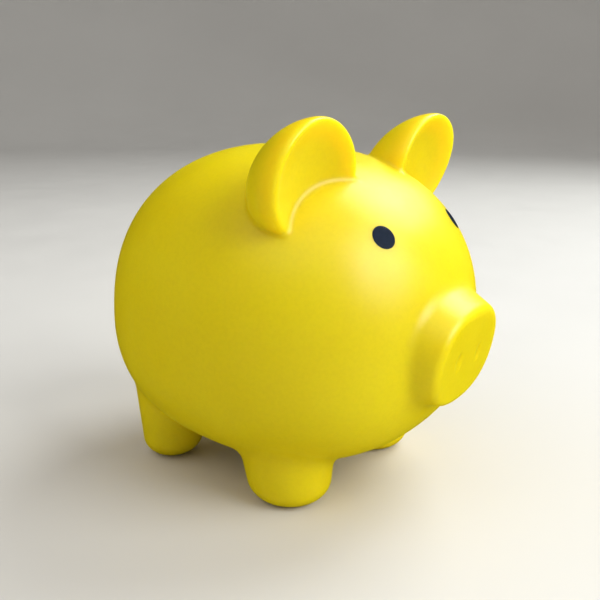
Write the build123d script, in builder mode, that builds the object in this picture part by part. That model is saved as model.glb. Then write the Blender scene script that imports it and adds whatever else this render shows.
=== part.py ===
"""A hollow soft-vinyl piggy bank with a push-in stopper under its belly.

Frame: millimetres, +Z up. The pig looks along -Y, its tail points along +Y and its left side is +X.
The origin lies on the ground under the middle of the bank's overall length and width.
"""

from build123d import *

import math
import os

# The shell
WALL = 2.4  # thickness of the moulded vinyl
BODY_CENTRE = (0, 4.7, 54.7)  # middle of the egg-shaped body
BODY_PITCH = 3.0  # degrees that the body nods nose down
BODY_HALF_WIDTH = 57.0
BODY_FRONT = 62.7  # reach from the middle towards the snout
BODY_REAR = 57.3  # reach from the middle towards the tail
BODY_TOP = 56.2
BODY_BOTTOM = 46.3
OVAL_POWER = 2.3  # of the body and the snout: 2 would be an ellipse, more is boxier
SECTIONS = 26  # slices of the body's loft
POINTS = 24  # points round each slice

# The snout, a tapered oval stub with a nearly flat face
SNOUT_CENTRE = (0, -62.95, 51.1)  # middle of the face
SNOUT_NOD = 10.0  # degrees that the face looks down
SNOUT_HALF_WIDTH = 19.4
SNOUT_HALF_HEIGHT = 15.25
SNOUT_LENGTH = 18.0  # the stub ends inside the body
SNOUT_DRAFT = 19.5
SNOUT_ROUND = 2.4
NOSTRIL_ACROSS = 6.9  # from the middle of the face
NOSTRIL_RADIUS = 1.8
NOSTRIL_DEPTH = 0.5

# The ears: leaning ellipsoids whose fronts are dished by a large sphere
EAR_CENTRE = (31.9, -26.35, 103.4)
EAR_LEAN = (48.5, 30.0, 0)  # degrees about X, then about the ear's own Y
EAR_HALF_SIZES = (18.6, 15.15, 21.05)
DISH_CENTRE = (33.0, -53.15, 98.4)
DISH_RADIUS = 29.7

# The legs: stubby cones, wider at the top, rounded at the sole
LEG_DRAFT = 8.3
LEG_HEIGHT = 34.0  # the legs end inside the body
FRONT_FOOT = (25.3, -15.3)
FRONT_FOOT_RADIUS = 12.9
FRONT_LEG_LEAN = (0, 0.08)  # sideways shift of the leg's axis per unit of height
HIND_FOOT = (25.9, 38.45)
HIND_FOOT_RADIUS = 9.7
HIND_LEG_LEAN = (0.05, -0.14)
SOLE_ROUND = 7.3

# The curled tail, a relief on the rump
TAIL_RADIUS = 2.2
TAIL_CURL = 6.0
TAIL_INNER_CURL = 3.4
TAIL_Y = 63.15
TAIL_Z = 66.0

# The coin slot along the back
SLOT_Y = 0.7
SLOT_LENGTH = 38.0
SLOT_WIDTH = 5.0
SLOT_DEPTH = 14.0

# The printed eyes
EYE_CENTRE = (21.8, -44.6, 88.4)
EYE_FACING = (0.317, -0.735, 0.599)
EYE_RADIUS = 3.65
PRINT_THICKNESS = 0.2

# The stopper's seat in the belly
STOPPER_Y = 8.1
SEAT_Z = 11.9  # height of the ledge that the flange rests against
SEAT_THICKNESS = 2.4
MOUTH_RADIUS = 13.6
POCKET_RADIUS = 17.0

# The stopper
FLANGE_RADIUS = 16.7
FLANGE_THICKNESS = 2.0
FLANGE_DOME = 1.0
SEAT_GAP = 0.05
GROOVE_RADIUS = 13.2
BEAD_RADIUS = 13.55
BEAD_BOTTOM = 14.9
BEAD_TOP = 16.0
NOSE_RADIUS = 11.6
NOSE_TOP = 20.0
GRIP_RADIUS = 10.2
GRIP_TOP = 17.6
GRIP_BAR = 4.4

STANDING = (Align.CENTER, Align.CENTER, Align.MIN)


def rest_of_power(part):
    """The other coordinate of a point on the unit oval."""
    return (1 - abs(part) ** OVAL_POWER) ** (1 / OVAL_POWER)


def rounded(wave):
    """A sine or cosine bent to the oval's power, keeping its sign."""
    return math.copysign(abs(wave) ** (2 / OVAL_POWER), wave)


def oval_points(half_width, top, bottom):
    """Points round an oval that reaches to top above its middle and to bottom below it."""
    points = []
    for step in range(POINTS):
        turn = 2 * math.pi * step / POINTS
        height = top if math.sin(turn) > 0 else bottom
        points.append((half_width * rounded(math.cos(turn)), height * rounded(math.sin(turn))))
    return points


def egg(inset):
    """The body's outer form, or a form that lies inset inside it."""
    with BuildPart() as form:
        for step in range(1, SECTIONS):
            along = -rounded(math.cos(math.pi * step / SECTIONS))
            reach = BODY_FRONT if along < 0 else BODY_REAR
            slice_plane = Plane((0, along * (reach - inset), 0), x_dir=(1, 0, 0), z_dir=(0, -1, 0))
            full_sizes = (BODY_HALF_WIDTH, BODY_TOP, BODY_BOTTOM)
            sizes = [(full - inset) * rest_of_power(along) for full in full_sizes]
            with BuildSketch(slice_plane):
                with BuildLine():
                    Spline(*oval_points(*sizes), periodic=True)
                make_face()
        loft()
    with BuildPart() as placed:
        with Locations(BODY_CENTRE):
            add(form.part, rotation=(BODY_PITCH, 0, 0))
    return placed.part


def snout(inset):
    """The snout's outer form, or its hollow."""
    face = Plane(SNOUT_CENTRE, x_dir=(1, 0, 0), z_dir=(0, -1, 0)).rotated((-SNOUT_NOD, 0, 0))
    draft = math.radians(SNOUT_DRAFT)
    with BuildPart() as form:
        for depth in (inset, SNOUT_LENGTH):
            widening = depth * math.tan(draft) - inset / math.cos(draft)
            height = SNOUT_HALF_HEIGHT + widening
            with BuildSketch(face.offset(-depth)):
                with BuildLine():
                    Spline(*oval_points(SNOUT_HALF_WIDTH + widening, height, height), periodic=True)
                make_face()
        loft()
        if inset == 0:
            fillet(form.edges().sort_by(Axis.Y).first, SNOUT_ROUND)
            with BuildSketch(face):
                with Locations((-NOSTRIL_ACROSS, 0), (NOSTRIL_ACROSS, 0)):
                    Circle(NOSTRIL_RADIUS)
            extrude(amount=-NOSTRIL_DEPTH, mode=Mode.SUBTRACT)
    return form.part


def leg(foot, radius, lean, inset):
    """One leg on the +X side, or its hollow."""
    draft = math.tan(math.radians(LEG_DRAFT))
    with BuildPart() as form:
        for height in (inset, LEG_HEIGHT):
            middle = (foot[0] + lean[0] * height, foot[1] + lean[1] * height)
            with BuildSketch(Plane.XY.offset(height)):
                with Locations(middle):
                    Circle(radius - inset + draft * height)
        loft()
        fillet(form.edges().sort_by(Axis.Z).first, SOLE_ROUND - inset)
    return form.part


def ear(inset):
    """The ear on the +X side, or its hollow."""
    with BuildPart() as ball:
        Sphere(20)
        scale(by=tuple((half - inset) / 20 for half in EAR_HALF_SIZES))
    with BuildPart() as form:
        with Locations(Location(EAR_CENTRE, EAR_LEAN)):
            add(ball.part)
        with Locations(DISH_CENTRE):
            Sphere(DISH_RADIUS + inset, mode=Mode.SUBTRACT)
    return form.part


def whole_form(inset):
    """The pig without slot and stopper seat: its outside, or its hollow."""
    with BuildPart() as sides:
        add(leg(FRONT_FOOT, FRONT_FOOT_RADIUS, FRONT_LEG_LEAN, inset))
        add(leg(HIND_FOOT, HIND_FOOT_RADIUS, HIND_LEG_LEAN, inset))
        add(ear(inset))
        mirror(about=Plane.YZ)
    with BuildPart() as form:
        add(egg(inset))
        add(snout(inset))
        add(sides.part)
    return form.part


outside = whole_form(0)
hollow = whole_form(WALL)

# Curled tail: a round cord along two half turns of a spiral, half sunk in the rump
with BuildPart() as tail:
    with BuildLine(Plane((0, TAIL_Y, TAIL_Z), x_dir=(-1, 0, 0), z_dir=(0, 1, 0))) as curl:
        outer_turn = CenterArc((0, 0), TAIL_CURL, 210, 220)
        inner_start = outer_turn @ 1
        JernArc(inner_start, outer_turn % 1, TAIL_INNER_CURL, 200)
    with BuildSketch(Plane(curl.line @ 0, z_dir=curl.line % 0)):
        Circle(TAIL_RADIUS)
    sweep()
    with Locations(curl.line @ 0, curl.line @ 1):
        Sphere(TAIL_RADIUS)

# Boss that stiffens the stopper's mouth, trimmed to the outside of the belly
with BuildPart() as boss:
    with Locations((0, STOPPER_Y, 0)):
        Cylinder(POCKET_RADIUS + WALL, SEAT_Z + SEAT_THICKNESS, align=STANDING)
    add(outside, mode=Mode.INTERSECT)

with BuildPart() as body_shell:
    add(outside)
    add(tail.part)
    add(hollow, mode=Mode.SUBTRACT)
    add(boss.part)
    with Locations((0, STOPPER_Y, 0)):
        Cylinder(POCKET_RADIUS, SEAT_Z, align=STANDING, mode=Mode.SUBTRACT)
        Cylinder(MOUTH_RADIUS, NOSE_TOP, align=STANDING, mode=Mode.SUBTRACT)
    with BuildSketch(Plane.XY.offset(BODY_CENTRE[2] + BODY_TOP - SLOT_DEPTH)):
        with Locations((0, SLOT_Y)):
            SlotOverall(SLOT_LENGTH, SLOT_WIDTH, rotation=90)
    extrude(amount=2 * SLOT_DEPTH, mode=Mode.SUBTRACT)

# Soft push-in plug: flange, groove for the ledge, bead, lead-in nose, and a bar to pull on
with BuildPart() as stopper:
    flange_top = SEAT_Z - SEAT_GAP
    rim_bottom = flange_top - FLANGE_THICKNESS
    with BuildSketch(Plane.XZ.offset(-STOPPER_Y)):
        with BuildLine():
            dome = TangentArc((0, rim_bottom - FLANGE_DOME), (FLANGE_RADIUS, rim_bottom), tangent=(1, 0))
            Polyline(
                dome @ 1,
                (FLANGE_RADIUS, flange_top),
                (GROOVE_RADIUS, flange_top),
                (GROOVE_RADIUS, BEAD_BOTTOM),
                (BEAD_RADIUS, BEAD_BOTTOM + 0.4),
                (BEAD_RADIUS, BEAD_TOP),
                (NOSE_RADIUS, NOSE_TOP),
                (0, NOSE_TOP),
                dome @ 0,
            )
        make_face()
    revolve(axis=Axis((0, STOPPER_Y, 0), (0, 0, 1)))
    with BuildSketch():
        with Locations((0, STOPPER_Y)):
            Circle(GRIP_RADIUS)
            Rectangle(2 * GRIP_RADIUS, GRIP_BAR, mode=Mode.SUBTRACT)
    extrude(amount=GRIP_TOP, mode=Mode.SUBTRACT)

# Round eye printed on the forehead's left side, a thin skin on the vinyl
with BuildPart() as eye_left:
    with BuildSketch(Plane(EYE_CENTRE, z_dir=EYE_FACING)):
        Circle(EYE_RADIUS)
    extrude(amount=EYE_RADIUS, both=True)
    add(egg(-PRINT_THICKNESS), mode=Mode.INTERSECT)
    add(egg(0), mode=Mode.SUBTRACT)

with BuildPart() as eye_right:
    add(mirror(eye_left.part, about=Plane.YZ, mode=Mode.PRIVATE))

os.makedirs("parts", exist_ok=True)
body_shell.part.label = "body_shell"
stopper.part.label = "stopper"
eye_left.part.label = "eye_left"
eye_right.part.label = "eye_right"
export_step(body_shell.part, "parts/body_shell.step")
export_step(stopper.part, "parts/stopper.step")
export_step(eye_left.part, "parts/eye_left.step")
export_step(eye_right.part, "parts/eye_right.step")
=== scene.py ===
"""Looks of the soft-vinyl piggy bank: smooth shell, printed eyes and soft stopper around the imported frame.

The frame is in metres. The forms below are worked out in millimetres, in the same axes: the pig looks
along -Y, its left side is +X and the ground is z = 0.
"""

import math

import bpy
import numpy as np
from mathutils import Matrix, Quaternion, Vector


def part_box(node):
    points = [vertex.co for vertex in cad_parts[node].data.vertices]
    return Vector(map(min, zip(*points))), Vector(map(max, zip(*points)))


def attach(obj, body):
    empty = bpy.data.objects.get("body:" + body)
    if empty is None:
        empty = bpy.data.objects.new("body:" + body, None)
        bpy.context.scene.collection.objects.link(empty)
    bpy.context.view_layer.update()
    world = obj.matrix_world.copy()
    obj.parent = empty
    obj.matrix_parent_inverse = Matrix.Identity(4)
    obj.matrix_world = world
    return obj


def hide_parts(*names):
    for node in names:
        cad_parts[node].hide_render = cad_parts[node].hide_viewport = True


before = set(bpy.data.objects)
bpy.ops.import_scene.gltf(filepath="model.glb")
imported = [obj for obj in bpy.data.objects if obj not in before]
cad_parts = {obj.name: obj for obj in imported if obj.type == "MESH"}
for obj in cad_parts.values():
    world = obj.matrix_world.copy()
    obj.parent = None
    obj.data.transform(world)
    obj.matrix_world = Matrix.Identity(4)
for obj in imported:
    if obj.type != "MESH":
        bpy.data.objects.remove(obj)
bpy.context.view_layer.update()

MM = 0.001


def box_mm(node):
    """A CAD node's lowest and highest corners in millimetres."""
    return [np.array(corner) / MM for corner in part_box(node)]


shell_low, shell_high = box_mm("body_shell")
plug_low, plug_high = box_mm("stopper")

# ---------------------------------------------------------------- driving dimensions, millimetres

WALL = 2.4
WALL_EDGE_BLEND = 0.4
HALF_WIDTH = shell_high[0]
BODY_CENTRE = np.array([0, shell_high[1] - 60.65, shell_high[2] - 66.4])
BODY_PITCH = math.radians(3.0)
BODY_FRONT = 62.7
BODY_REAR = 57.3
BODY_TOP = 56.2
BODY_BOTTOM = 46.3
OVAL_POWER = 2.3

SNOUT_CENTRE = np.array([0, BODY_CENTRE[1] - 67.65, 51.1])
SNOUT_NOD = math.radians(10.0)
SNOUT_HALF_WIDTH = 19.4
SNOUT_HALF_HEIGHT = 15.25
SNOUT_DRAFT = math.radians(19.5)
SNOUT_ROUND = 1.8
SNOUT_LENGTH = 18.0
SNOUT_BLEND = 1.8
NOSTRIL_ACROSS = 6.9
NOSTRIL_OUT = 0.25
NOSTRIL_HALF_SIZES = np.array([1.7, 2.6, 0.7])
NOSTRIL_BLEND = 0.8

EAR_CENTRE = np.array([31.9, BODY_CENTRE[1] - 31.05, 103.4])
EAR_LEAN = (math.radians(48.5), math.radians(30.0))
EAR_HALF_SIZES = np.array([18.6, 15.15, 21.05])
DISH_CENTRE = np.array([33.0, BODY_CENTRE[1] - 57.85, 98.4])
DISH_RADIUS = 29.7
EAR_RIM_ROUND = 3.0
EAR_BLEND = 1.6

LEG_DRAFT = math.radians(8.3)
LEG_HEIGHT = 34.0
SOLE_ROUND = 6.4
LEG_BLEND = 3.0
LEGS = (
    # foot x, foot y from the body's centre, radius at the ground, sideways lean x and y per unit of height
    (25.3, -20.0, 12.9, 0.0, 0.08),
    (25.9, 33.75, 9.7, 0.05, -0.14),
)

TAIL_CORD = 2.2
TAIL_CURL = 6.0
TAIL_INNER_CURL = 3.4
TAIL_CENTRE = np.array([0, shell_high[1] - TAIL_CORD, 66.0])
TAIL_BLEND = 1.6

SLOT_Y = BODY_CENTRE[1] - 4.0
SLOT_LENGTH = 38.0
SLOT_WIDTH = 5.0
SLOT_ROUND = 0.9
SLOT_BOTTOM = BODY_CENTRE[2] + 30

PLUG_Y = (plug_low[1] + plug_high[1]) / 2
SEAT_Z = 11.9
SEAT_THICKNESS = 2.4
MOUTH_RADIUS = 13.6
POCKET_RADIUS = 17.0
SEAT_ROUND = 0.7
BOSS_BLEND = 0.6

FLANGE_RADIUS = plug_high[0]
FLANGE_THICKNESS = 2.0
SEAT_GAP = 0.05
GROOVE_RADIUS = 13.2
BEAD_RADIUS = 13.55
BEAD_BOTTOM = 14.9
BEAD_TOP = 16.0
BEAD_ROUND = 0.4
NOSE_RADIUS = 11.6
GRIP_RADIUS = 10.2
GRIP_TOP = 17.6
GRIP_BAR = 4.4
GRIP_ROUND = 1.0
PLUG_ROUND = 0.7
PLUG_BLEND = 0.3

EYE_RADIUS = 3.65
EYE_CROWN = 0.12
EYE_SUNK = 0.25
EYE_SPOKES = 96
EYE_RINGS = (0, 0.15, 0.3, 0.45, 0.6, 0.72, 0.82, 0.9, 0.95, 0.98, 1)  # shares of the radius

# ---------------------------------------------------------------- distance fields


def length(v):
    return np.sqrt((v * v).sum(-1))


def join(a, b, blend):
    """Union of two forms, with a soft fillet between them."""
    share = np.clip(0.5 + 0.5 * (b - a) / blend, 0, 1)
    return b + (a - b) * share - blend * share * (1 - share)


def cut(a, b, blend):
    """Form a with form b taken away, the edge rounded."""
    return -join(-a, b, blend)


def both(a, b, blend):
    """What is inside both forms."""
    return -join(-a, -b, blend)


def ellipsoid(p, half_sizes):
    near = length(p / half_sizes)
    slope = length(p / half_sizes**2)
    return near * (near - 1) / np.maximum(slope, 1e-9)


def squircle(p, half_sizes):
    """Distance to an oval, or an egg, of the body's power."""
    part = np.abs(p) / half_sizes
    total = np.maximum((part**OVAL_POWER).sum(-1), 1e-9)
    size = total ** (1 / OVAL_POWER)
    slope = total ** (1 / OVAL_POWER - 1) * length(part ** (OVAL_POWER - 1) / half_sizes)
    return (size - 1) / np.maximum(slope, 1 / (2 * BODY_FRONT))


def corner(a, b, radius):
    """What is inside both a and b, the edge between them an arc of the given radius."""
    a = a + radius
    b = b + radius
    return np.hypot(np.maximum(a, 0), np.maximum(b, 0)) + np.minimum(np.maximum(a, b), 0) - radius


def disc(p, radius, low, high, edge):
    """Upright disc around the stopper's axis, both its edges rounded."""
    across = np.hypot(p[..., 0], p[..., 1] - PLUG_Y) - radius
    return corner(across, np.maximum(low - p[..., 2], p[..., 2] - high), edge)


def body_form(p):
    """The egg: a rounded form whose front, rear, top and bottom have their own reach."""
    y = p[..., 1] - BODY_CENTRE[1]
    z = p[..., 2] - BODY_CENTRE[2]
    along = y * math.cos(BODY_PITCH) + z * math.sin(BODY_PITCH)
    up = z * math.cos(BODY_PITCH) - y * math.sin(BODY_PITCH)
    reach = np.stack([
        np.full_like(y, HALF_WIDTH),
        np.where(along < 0, BODY_FRONT, BODY_REAR),
        np.where(up > 0, BODY_TOP, BODY_BOTTOM),
    ], -1)
    return squircle(np.stack([p[..., 0], along, up], -1), reach)


def snout_form(p):
    """Tapered oval stub, with the two shallow nostrils pressed into its face."""
    y = p[..., 1] - SNOUT_CENTRE[1]
    z = p[..., 2] - SNOUT_CENTRE[2]
    out = -y * math.cos(SNOUT_NOD) - z * math.sin(SNOUT_NOD)
    up = -y * math.sin(SNOUT_NOD) + z * math.cos(SNOUT_NOD)
    widening = np.maximum(-out, -SNOUT_ROUND) * math.tan(SNOUT_DRAFT)
    half = np.stack([SNOUT_HALF_WIDTH + widening, SNOUT_HALF_HEIGHT + widening], -1)
    side = squircle(np.stack([p[..., 0], up], -1), half) * math.cos(SNOUT_DRAFT)
    stub = np.maximum(corner(side, out, SNOUT_ROUND), -out - SNOUT_LENGTH)
    from_nostril = np.stack([np.abs(p[..., 0]) - NOSTRIL_ACROSS, up, out - NOSTRIL_OUT], -1)
    return cut(stub, ellipsoid(from_nostril, NOSTRIL_HALF_SIZES), NOSTRIL_BLEND)


def leg_form(p, foot_x, foot_y, radius, lean_x, lean_y):
    z = p[..., 2]
    x = p[..., 0] - foot_x - lean_x * z
    y = p[..., 1] - BODY_CENTRE[1] - foot_y - lean_y * z
    side = (np.hypot(x, y) - radius - z * math.tan(LEG_DRAFT)) * math.cos(LEG_DRAFT)
    return np.maximum(corner(side, -z, SOLE_ROUND), z - LEG_HEIGHT)


def ear_form(p):
    """Leaning ellipsoid whose front is dished by a large sphere."""
    tip, roll = EAR_LEAN
    about_x = np.array([
        [1, 0, 0],
        [0, math.cos(tip), -math.sin(tip)],
        [0, math.sin(tip), math.cos(tip)],
    ])
    about_y = np.array([
        [math.cos(roll), 0, math.sin(roll)],
        [0, 1, 0],
        [-math.sin(roll), 0, math.cos(roll)],
    ])
    ball = ellipsoid((p - EAR_CENTRE) @ (about_x @ about_y), EAR_HALF_SIZES)
    dish = length(p - DISH_CENTRE) - DISH_RADIUS
    return cut(ball, dish, EAR_RIM_ROUND)


def tail_points():
    """The curl's centreline: part of a large turn, then a tighter one."""
    points = []
    for degrees in range(210, 431, 5):
        turn = math.radians(degrees)
        points.append((TAIL_CURL * math.cos(turn), TAIL_CURL * math.sin(turn)))
    start = math.radians(430)
    hub_x = (TAIL_CURL - TAIL_INNER_CURL) * math.cos(start)
    hub_z = (TAIL_CURL - TAIL_INNER_CURL) * math.sin(start)
    for degrees in range(435, 631, 5):
        turn = math.radians(degrees)
        points.append((hub_x + TAIL_INNER_CURL * math.cos(turn), hub_z + TAIL_INNER_CURL * math.sin(turn)))
    return np.array([(TAIL_CENTRE[0] - x, TAIL_CENTRE[1], TAIL_CENTRE[2] + z) for x, z in points])


TAIL_LINE = tail_points()


def tail_form(p):
    distance = length(p - TAIL_CENTRE) - TAIL_CURL
    near = distance < 2 * TAIL_CURL
    spots = p[near]
    nearest = np.full(len(spots), 1e9)
    for start, end in zip(TAIL_LINE[:-1], TAIL_LINE[1:]):
        run = end - start
        share = np.clip((spots - start) @ run / (run @ run), 0, 1)
        nearest = np.minimum(nearest, length(spots - start - share[:, None] * run))
    distance[near] = nearest - TAIL_CORD
    return distance


def outside_form(p):
    """The whole pig without the slot and the stopper's seat."""
    half = p.copy()
    half[..., 0] = np.abs(half[..., 0])
    form = join(body_form(half), snout_form(half), SNOUT_BLEND)
    for leg in LEGS:
        form = join(form, leg_form(half, *leg), LEG_BLEND)
    form = join(form, ear_form(half), EAR_BLEND)
    return join(form, tail_form(p), TAIL_BLEND)


def slot_form(p):
    """Upright slab with round ends, through the crest of the back."""
    run = (SLOT_LENGTH - SLOT_WIDTH) / 2
    y = np.maximum(np.abs(p[..., 1] - SLOT_Y) - run, 0)
    return np.maximum(np.hypot(p[..., 0], y) - SLOT_WIDTH / 2, SLOT_BOTTOM - p[..., 2])


def shell_form(p):
    """The hollow moulding."""
    outside = outside_form(p)
    hollow = -(outside + WALL)
    shell = both(outside, hollow, WALL_EDGE_BLEND)
    boss = disc(p, POCKET_RADIUS + WALL, -1, SEAT_Z + SEAT_THICKNESS, 0)
    shell = join(shell, both(boss, outside, WALL_EDGE_BLEND), BOSS_BLEND)
    shell = cut(shell, disc(p, POCKET_RADIUS, -1, SEAT_Z, 0), SEAT_ROUND)
    shell = cut(shell, disc(p, MOUTH_RADIUS, -1, plug_high[2], 0), SEAT_ROUND)
    return cut(shell, slot_form(p), SLOT_ROUND)


def plug_form(p):
    """Stopper: a domed flange, a groove for the seat's ledge, a bead, a tapered nose and a grip inside."""
    flange_top = SEAT_Z - SEAT_GAP
    dome_depth = flange_top - FLANGE_THICKNESS - plug_low[2]
    dome_radius = (FLANGE_RADIUS**2 + dome_depth**2) / (2 * dome_depth)
    dome = length(p - np.array([0, PLUG_Y, plug_low[2] + dome_radius])) - dome_radius
    flange = corner(disc(p, FLANGE_RADIUS, plug_low[2] - 1, flange_top, 0.5), dome, PLUG_ROUND)
    neck = disc(p, GROOVE_RADIUS, SEAT_Z - 1, BEAD_TOP, 0.1)
    slant = (BEAD_RADIUS - NOSE_RADIUS) / (plug_high[2] - BEAD_TOP)
    cone = np.hypot(p[..., 0], p[..., 1] - PLUG_Y) - BEAD_RADIUS + slant * (p[..., 2] - BEAD_TOP)
    bead = disc(p, BEAD_RADIUS, BEAD_BOTTOM, plug_high[2], BEAD_ROUND)
    nose = corner(cone / math.hypot(1, slant), bead, PLUG_ROUND)
    solid = join(join(flange, neck, PLUG_BLEND), nose, PLUG_BLEND)
    bar = GRIP_BAR / 2 - np.abs(p[..., 1] - PLUG_Y)
    grip = corner(disc(p, GRIP_RADIUS, plug_low[2] - 2, GRIP_TOP, GRIP_ROUND), bar, GRIP_ROUND)
    return cut(solid, grip, PLUG_ROUND)


# ---------------------------------------------------------------- meshing a field

PROBE = 0.02  # how far from a point its slope is felt
LEAST_STEEP = 0.05  # keeps steps short where a field is nearly flat
LONGEST_STEP = 0.8
FILL = 0.01  # how deep inside a filled grid point lies


def slope_of(form, p):
    """Gradient of a field, from the corners of a small tetrahedron."""
    total = np.zeros_like(p)
    for way in ((1, -1, -1), (-1, -1, 1), (-1, 1, -1), (1, 1, 1)):
        way = np.array(way, float)
        total += way * form(p + PROBE * way)[:, None]
    return total / (4 * PROBE)


def normals_of(form, p):
    slope = slope_of(form, p)
    return slope / np.maximum(length(slope), 1e-9)[:, None]


def settle(form, p, steps):
    """Moves points onto the surface of a field."""
    for _ in range(steps):
        slope = slope_of(form, p)
        steep = np.maximum((slope * slope).sum(-1), LEAST_STEEP)
        step = slope * (form(p) / steep)[:, None]
        far = np.maximum(length(step), 1e-9)
        p = p - step * np.minimum(1, LONGEST_STEP / far)[:, None]
    return p


def fill_pinches(value):
    """Fills grid points until no grid square has its corners inside and outside by turns.

    Such a square would give an edge with four faces.
    """
    found = True
    while found:
        found = False
        for u, v in ((0, 1), (0, 2), (1, 2)):
            corners = []
            for du, dv in ((0, 0), (1, 0), (1, 1), (0, 1)):
                part = [slice(None)] * 3
                part[u] = slice(du, value.shape[u] - 1 + du)
                part[v] = slice(dv, value.shape[v] - 1 + dv)
                corners.append(value[tuple(part)])
            inside = [values < 0 for values in corners]
            pinched = (inside[0] == inside[2]) & (inside[1] == inside[3]) & (inside[0] != inside[1])
            for at in np.argwhere(pinched):
                at = tuple(at)
                outside = [values for values in corners if values[at] >= 0]
                if len(outside) == 2:
                    nearest = min(outside, key=lambda values: values[at])
                    nearest[at] = -FILL
                    found = True


def net(form, low, high, step):
    """Surface net of a field: one point in each grid cell that the surface crosses, joined to triangles."""
    counts = np.ceil((high - low) / step).astype(int) + 1
    axes = [low[k] + step * np.arange(counts[k]) for k in range(3)]
    value = np.empty(counts)
    for i, x in enumerate(axes[0]):
        y, z = np.meshgrid(axes[1], axes[2], indexing="ij")
        value[i] = form(np.stack([np.full_like(y, x), y, z], -1).reshape(-1, 3)).reshape(y.shape)
    fill_pinches(value)
    inside = value < 0
    total = np.zeros(tuple(counts - 1) + (3,))
    hits = np.zeros(tuple(counts - 1))
    crossings = []
    for axis in range(3):
        near = [slice(None)] * 3
        far = [slice(None)] * 3
        near[axis] = slice(None, -1)
        far[axis] = slice(1, None)
        a, b = value[tuple(near)], value[tuple(far)]
        crossed = inside[tuple(near)] != inside[tuple(far)]
        crossings.append(crossed)
        share = np.where(crossed, a / np.where(crossed, a - b, 1), 0)
        u, v = [k for k in range(3) if k != axis]
        for du in (0, 1):
            for dv in (0, 1):
                part = [slice(None)] * 3
                part[u] = slice(du, counts[u] - 1 + du)
                part[v] = slice(dv, counts[v] - 1 + dv)
                hit = crossed[tuple(part)]
                total[..., axis] += share[tuple(part)] * hit
                total[..., u] += du * hit
                total[..., v] += dv * hit
                hits += hit
    active = hits > 0
    number = np.full(active.shape, -1)
    number[active] = np.arange(active.sum())
    cells = np.argwhere(active)
    points = low + step * (cells + total[active] / hits[active][:, None])
    triangles = []
    for axis in range(3):
        u, v = (axis + 1) % 3, (axis + 2) % 3
        at = np.argwhere(crossings[axis])
        at = at[(at[:, u] > 0) & (at[:, v] > 0)]
        at = at[(at[:, u] < counts[u] - 1) & (at[:, v] < counts[v] - 1)]
        ring = []
        for du, dv in ((1, 1), (0, 1), (0, 0), (1, 0)):
            cell = at.copy()
            cell[:, u] -= du
            cell[:, v] -= dv
            ring.append(number[tuple(cell.T)])
        ring = np.stack(ring, -1)
        flip = ~inside[tuple(at.T)]
        ring[flip] = ring[flip][:, ::-1]
        a, b, c, d = points[ring.T]
        short = length(a - c) < length(b - d)
        ring = np.where(short[:, None], ring, np.roll(ring, 1, axis=1))
        triangles.append(ring[:, [0, 1, 2]])
        triangles.append(ring[:, [0, 2, 3]])
    return points, np.concatenate(triangles)


def sides(triangles):
    """The sides of all triangles as pairs of points: the first sides, the second, then the third."""
    return np.concatenate([triangles[:, [0, 1]], triangles[:, [1, 2]], triangles[:, [2, 0]]])


def relax(points, triangles, share):
    """Evens out the triangles: each point moves towards the middle of its neighbours."""
    pairs = sides(triangles)
    total = np.zeros_like(points)
    for axis in range(3):
        total[:, axis] = np.bincount(pairs[:, 0], points[pairs[:, 1], axis], len(points))
    count = np.bincount(pairs[:, 0], minlength=len(points))
    return points + share * (total / np.maximum(count, 1)[:, None] - points)


def refine(form, points, triangles, most_turn):
    """Halves the edges whose ends face more than most_turn degrees apart, then settles the new points."""
    normals = normals_of(form, points)
    edges, which = np.unique(np.sort(sides(triangles), axis=1), axis=0, return_inverse=True)
    which = which.reshape(3, -1).T
    bent = (normals[edges[:, 0]] * normals[edges[:, 1]]).sum(-1) < math.cos(math.radians(most_turn))
    number = np.full(len(edges), -1)
    number[bent] = len(points) + np.arange(bent.sum())
    middle = (points[edges[bent, 0]] + points[edges[bent, 1]]) / 2
    points = np.concatenate([points, settle(form, middle, 3)])
    split = bent[which]
    made = [triangles[~split.any(1)]]
    for count in (1, 2, 3):
        chosen = split.sum(1) == count
        t, e, s = triangles[chosen], which[chosen], split[chosen]
        # turn each triangle so that its first edge is split, and with two splits its third edge isn't
        lead = ((~s).argmax(1) + 1) % 3 if count == 2 else s.argmax(1)
        order = (lead[:, None] + np.arange(3)) % 3
        a, b, c = np.take_along_axis(t, order, 1).T
        ab, bc, ca = number[np.take_along_axis(e, order, 1)].T
        if count == 1:
            made += [np.stack([a, ab, c], -1), np.stack([ab, b, c], -1)]
        elif count == 2:
            made += [np.stack([ab, b, bc], -1), np.stack([a, ab, bc], -1), np.stack([a, bc, c], -1)]
        else:
            made += [np.stack([a, ab, ca], -1), np.stack([ab, b, bc], -1)]
            made += [np.stack([ca, bc, c], -1), np.stack([ab, bc, ca], -1)]
    return points, np.concatenate(made)


def mesh_piece(name, points, faces):
    """A smooth-shaded Blender object from points in millimetres."""
    mesh = bpy.data.meshes.new(name)
    mesh.from_pydata((points * MM).tolist(), [], faces)
    mesh.polygons.foreach_set("use_smooth", np.ones(len(faces), bool))
    piece = bpy.data.objects.new(name, mesh)
    bpy.context.scene.collection.objects.link(piece)
    return piece


def mesh_from(name, form, low, high, step, turns):
    """A closed, smooth-shaded Blender mesh of a field."""
    points, triangles = net(form, low, high, step)
    for _ in range(3):
        points = settle(form, relax(points, triangles, 0.5), 2)
    for most_turn in turns:
        points, triangles = refine(form, points, triangles, most_turn)
    points = settle(form, points, 2)
    piece = mesh_piece(name, points, triangles.tolist())
    piece.data.normals_split_custom_set_from_vertices(normals_of(form, points).tolist())
    return piece


# ---------------------------------------------------------------- materials


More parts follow.
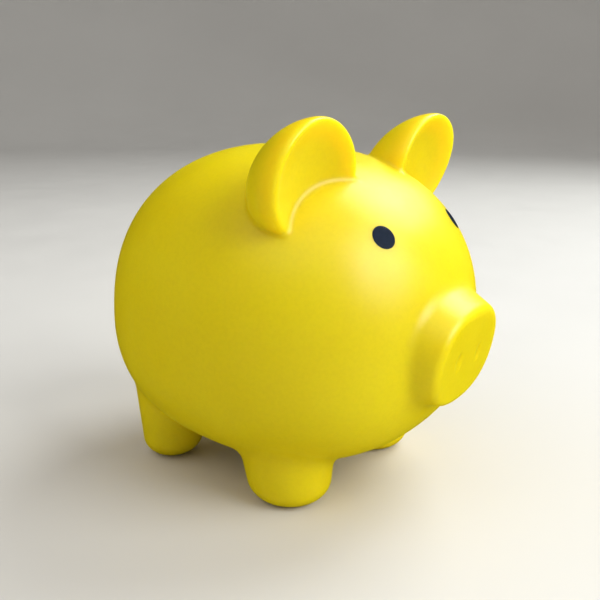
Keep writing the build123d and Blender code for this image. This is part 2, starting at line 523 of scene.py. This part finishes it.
class Finish:
    """A procedural material: a Principled shader and the nodes that feed it."""

    def __init__(self, name, **constants):
        self.material = bpy.data.materials.new(name)
        self.material.use_nodes = True
        self.tree = self.material.node_tree
        self.shader = self.tree.nodes["Principled BSDF"]
        for socket, value in constants.items():
            self.shader.inputs[socket.replace("_", " ")].default_value = value
        self.place = self.tree.nodes.new("ShaderNodeTexCoord").outputs["Object"]

    def node(self, kind, **settings):
        made = self.tree.nodes.new(kind)
        for name, value in settings.items():
            setattr(made, name, value)
        return made

    def wire(self, source, target):
        self.tree.links.new(source, target)

    def noise(self, size, detail=2.0, rough=0.5, offset=0.0):
        """Noise whose features are about size metres across."""
        made = self.node("ShaderNodeTexNoise")
        made.noise_dimensions = "4D"
        made.inputs["W"].default_value = offset
        made.inputs["Scale"].default_value = 1 / size
        made.inputs["Detail"].default_value = detail
        made.inputs["Roughness"].default_value = rough
        self.wire(self.place, made.inputs["Vector"])
        return made.outputs["Fac"]

    def ramp(self, factor, *stops):
        """Colours or greys along a factor: (position, value) pairs."""
        made = self.node("ShaderNodeValToRGB")
        elements = made.color_ramp.elements
        while len(elements) < len(stops):
            elements.new(0.5)
        for element, (position, value) in zip(elements, stops):
            element.position = position
            element.color = (*value, 1) if isinstance(value, tuple) else (value, value, value, 1)
        self.wire(factor, made.inputs["Fac"])
        return made.outputs["Color"]

    def blend(self, kind, factor, a, b):
        made = self.node("ShaderNodeMix", data_type="RGBA", blend_type=kind)
        for value, socket in ((factor, "Factor"), (a, "A"), (b, "B")):
            target = next(s for s in made.inputs if s.name == socket and s.enabled)
            if isinstance(value, bpy.types.NodeSocket):
                self.wire(value, target)
            else:
                target.default_value = value
        return next(s for s in made.outputs if s.enabled)

    def bump(self, height, strength, distance, under=None):
        made = self.node("ShaderNodeBump")
        made.inputs["Strength"].default_value = strength
        made.inputs["Distance"].default_value = distance
        self.wire(height, made.inputs["Height"])
        if under:
            self.wire(under, made.inputs["Normal"])
        return made.outputs["Normal"]

    def feed(self, **sources):
        for socket, source in sources.items():
            self.wire(source, self.shader.inputs[socket.replace("_", " ")])
        return self.material


def vinyl_finish():
    """Matte lemon-yellow vinyl, with the faint ripple and grain of a cast skin."""
    finish = Finish(
        "yellow_vinyl",
        IOR=1.5,
        Subsurface_Weight=0.9,
        Subsurface_Radius=(1.0, 0.9, 0.12),
        Subsurface_Scale=0.0065,
    )
    cloud = finish.noise(0.035, detail=2.0)
    colour = finish.ramp(cloud, (0.3, (0.92, 0.65, 0.004)), (0.7, (0.945, 0.68, 0.008)))
    speck = finish.ramp(finish.noise(0.0011, detail=1.0, offset=3.0), (0.3, 0.94), (0.62, 1.0))
    colour = finish.blend("MULTIPLY", 0.5, colour, speck)
    haze = finish.noise(0.012, detail=4.0, rough=0.6, offset=7.0)
    rough = finish.ramp(haze, (0.3, 0.34), (0.7, 0.44))
    ripple = finish.bump(finish.noise(0.009, detail=1.0, offset=11.0), 0.12, 0.0004)
    grain = finish.bump(finish.noise(0.0007, detail=2.0, offset=5.0), 0.10, 0.00005, ripple)
    return finish.feed(Base_Color=colour, Roughness=rough, Normal=grain)


def print_finish():
    """Black pad print with little shine of its own; the blue tint in its colour is a painted reflection of
    the surroundings.
    """
    finish = Finish("black_print_painted_sheen", IOR=1.45, Specular_IOR_Level=0.05)
    cloud = finish.noise(0.002, detail=2.0)
    # the blue in these colours is painted reflection, in place of the ink's real sheen
    colour = finish.ramp(cloud, (0.3, (0.006, 0.012, 0.026)), (0.7, (0.009, 0.016, 0.034)))
    rough = finish.ramp(finish.noise(0.001, detail=3.0, offset=2.0), (0.3, 0.30), (0.7, 0.40))
    film = finish.bump(finish.noise(0.0006, detail=2.0, offset=4.0), 0.08, 0.00003)
    return finish.feed(Base_Color=colour, Roughness=rough, Normal=film)


def plug_finish():
    """Milky soft plastic."""
    finish = Finish(
        "milky_plastic",
        IOR=1.5,
        Subsurface_Weight=0.5,
        Subsurface_Radius=(1.0, 0.9, 0.75),
        Subsurface_Scale=0.003,
    )
    cloud = finish.noise(0.01, detail=3.0)
    colour = finish.ramp(cloud, (0.3, (0.70, 0.69, 0.63)), (0.7, (0.78, 0.77, 0.72)))
    rough = finish.ramp(finish.noise(0.004, detail=4.0, offset=2.0), (0.3, 0.38), (0.7, 0.52))
    grain = finish.bump(finish.noise(0.0008, detail=2.0, offset=4.0), 0.12, 0.00005)
    return finish.feed(Base_Color=colour, Roughness=rough, Normal=grain)


def floor_finish():
    finish = Finish("pale_floor")
    cloud = finish.noise(0.4, detail=3.0)
    colour = finish.ramp(cloud, (0.3, (0.61, 0.60, 0.585)), (0.7, (0.64, 0.63, 0.615)))
    rough = finish.ramp(finish.noise(0.05, detail=3.0, offset=2.0), (0.3, 0.6), (0.7, 0.75))
    return finish.feed(Base_Color=colour, Roughness=rough)


# ---------------------------------------------------------------- pieces


def dress(piece, finish, body, node):
    """Gives a piece its material and its body, and hides the CAD node that it stands for."""
    piece.data.materials.clear()
    piece.data.materials.append(finish)
    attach(piece, body)
    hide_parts(node)


# The grids reach a little past each piece. Their cells are finer on the smaller piece
MARGIN = 2.0
SHELL_CELL = 1.35
PLUG_CELL = 0.8
shell = mesh_from("shell", shell_form, shell_low - MARGIN, shell_high + MARGIN, SHELL_CELL, (16, 16))
dress(shell, vinyl_finish(), "pig", "body_shell")

plug = mesh_from("plug", plug_form, plug_low - MARGIN, plug_high + MARGIN, PLUG_CELL, (20, 20))
dress(plug, plug_finish(), "plug", "stopper")


def printed_dot(name, node):
    """A film of ink lying on the skin: a crowned disc whose back is just under the surface."""
    low, high = box_mm(node)
    middle = settle(outside_form, ((low + high) / 2)[None], 6)
    facing = slope_of(outside_form, middle)[0]
    facing /= length(facing)
    side = np.cross((0, 0, 1), facing)
    side /= length(side)
    up = np.cross(facing, side)
    points = []
    lift = []
    for share in EYE_RINGS:
        reach = EYE_RADIUS * share
        count = 1 if share == 0 else EYE_SPOKES
        for turn in np.arange(count) * 2 * math.pi / count:
            points.append(middle[0] + reach * (math.cos(turn) * side + math.sin(turn) * up))
            lift.append(EYE_CROWN * (1 - share**12) ** 0.5)
    flat = np.array(points)
    for _ in range(4):
        flat -= outside_form(flat)[:, None] * facing
    normals = normals_of(outside_form, flat)
    top = flat + normals * np.array(lift)[:, None]
    under = flat - normals * EYE_SUNK
    triangles = []
    for k in range(EYE_SPOKES):
        after = (k + 1) % EYE_SPOKES
        triangles.append((0, 1 + k, 1 + after))
        for ring in range(len(EYE_RINGS) - 2):
            a, b = 1 + ring * EYE_SPOKES + k, 1 + ring * EYE_SPOKES + after
            triangles += [(a, a + EYE_SPOKES, b + EYE_SPOKES), (a, b + EYE_SPOKES, b)]
    back = [(c + len(flat), b + len(flat), a + len(flat)) for a, b, c in triangles]
    wall = []
    edge = len(flat) - EYE_SPOKES
    for k in range(EYE_SPOKES):
        a, b = edge + k, edge + (k + 1) % EYE_SPOKES
        wall += [(a, a + len(flat), b + len(flat)), (a, b + len(flat), b)]
    return mesh_piece(name, np.concatenate([top, under]), triangles + wall + back)


black = print_finish()
for side in ("left", "right"):
    dress(printed_dot(f"printed_eye_{side}", f"eye_{side}"), black, "pig", f"eye_{side}")

# ---------------------------------------------------------------- camera, floor and light


def aim(thing, target):
    thing.rotation_mode = "QUATERNION"
    thing.rotation_quaternion = (Vector(target) - thing.location).to_track_quat("-Z", "Y")


def add_to_scene(name, data):
    thing = bpy.data.objects.new(name, data)
    bpy.context.scene.collection.objects.link(thing)
    return thing


def towards(azimuth, height):
    """Unit vector from the pig to a place at an azimuth and a height in degrees."""
    a, h = math.radians(azimuth), math.radians(height)
    return Vector((math.sin(a) * math.cos(h), -math.cos(a) * math.cos(h), math.sin(h)))


def soft_light(name, azimuth, height, distance, size, power, colour, shine=True):
    """A round lamp facing the pig. Without shine it isn't mirrored in the skin."""
    data = bpy.data.lights.new(name, "AREA")
    data.shape = "DISK"
    data.size = size
    data.energy = power
    data.color = colour
    light = add_to_scene(name, data)
    light.location = PIG_MIDDLE + towards(azimuth, height) * distance
    aim(light, PIG_MIDDLE)
    light.visible_glossy = shine


PIG_MIDDLE = Vector((0, 0, 0.055))
CAMERA_TARGET = Vector((0.0126, BODY_CENTRE[1] * MM + 0.00477, 0.05367))
CAMERA_DISTANCE = 0.2752
CAMERA_AZIMUTH = -53.71
CAMERA_HEIGHT = 15.27
CAMERA_ROLL = math.radians(0.6)

lens = bpy.data.cameras.new("camera")
lens.lens = 44.9
lens.clip_start = 0.01
camera = add_to_scene("camera", lens)
camera.location = CAMERA_TARGET + towards(CAMERA_AZIMUTH, CAMERA_HEIGHT) * CAMERA_DISTANCE
aim(camera, CAMERA_TARGET)
camera.rotation_quaternion @= Quaternion((0, 0, 1), CAMERA_ROLL)
bpy.context.scene.camera = camera
bpy.context.scene.view_settings.view_transform = "Standard"

# Only the lamps mirror in the skin: the world and the floor give it diffuse light alone
world = bpy.data.worlds.new("studio")
world.use_nodes = True
background = world.node_tree.nodes["Background"]
background.inputs["Color"].default_value = (1.0, 0.97, 0.92, 1)
background.inputs["Strength"].default_value = 0.5
bpy.context.scene.world = world
world.cycles_visibility.glossy = False

# name, azimuth and height in degrees, distance and width in metres, watts, colour
soft_light("key", 76, 46, 1.2, 0.8, 10.5, (0.97, 1.0, 0.98))
soft_light("front", 8, 34, 1.2, 0.9, 12.0, (0.98, 1.0, 0.98))
soft_light("overhead", -75, 60, 1.2, 1.2, 2.5, (1.0, 0.97, 0.93))
soft_light("rear", -135, 24, 1.2, 1.2, 2.8, (1.0, 0.97, 0.93), shine=False)

# A round studio floor that sweeps up into its wall all round
FLOOR_FLAT = 1.6
SWEEP = 1.2
WALL_TOP = 2.6
SPOKES = 96
profile = [(FLOOR_FLAT * share, 0) for share in (0, 0.25, 0.5, 0.75, 1)]
for turn in np.linspace(0, math.pi / 2, 13)[1:]:
    profile.append((FLOOR_FLAT + SWEEP * math.sin(turn), SWEEP * (1 - math.cos(turn))))
profile.append((FLOOR_FLAT + SWEEP, WALL_TOP))
floor_points = [(0, 0, 0)]
for reach, height in profile[1:]:
    for turn in np.arange(SPOKES) * 2 * math.pi / SPOKES:
        floor_points.append((reach * math.cos(turn), reach * math.sin(turn), height))
floor_faces = []
for k in range(SPOKES):
    after = (k + 1) % SPOKES
    floor_faces.append((0, 1 + k, 1 + after))
    for ring in range(len(profile) - 2):
        a, b = 1 + ring * SPOKES + k, 1 + ring * SPOKES + after
        floor_faces.append((a, a + SPOKES, b + SPOKES, b))
floor = mesh_piece("floor", np.array(floor_points) / MM, floor_faces)
floor.data.materials.append(floor_finish())
floor.visible_glossy = False
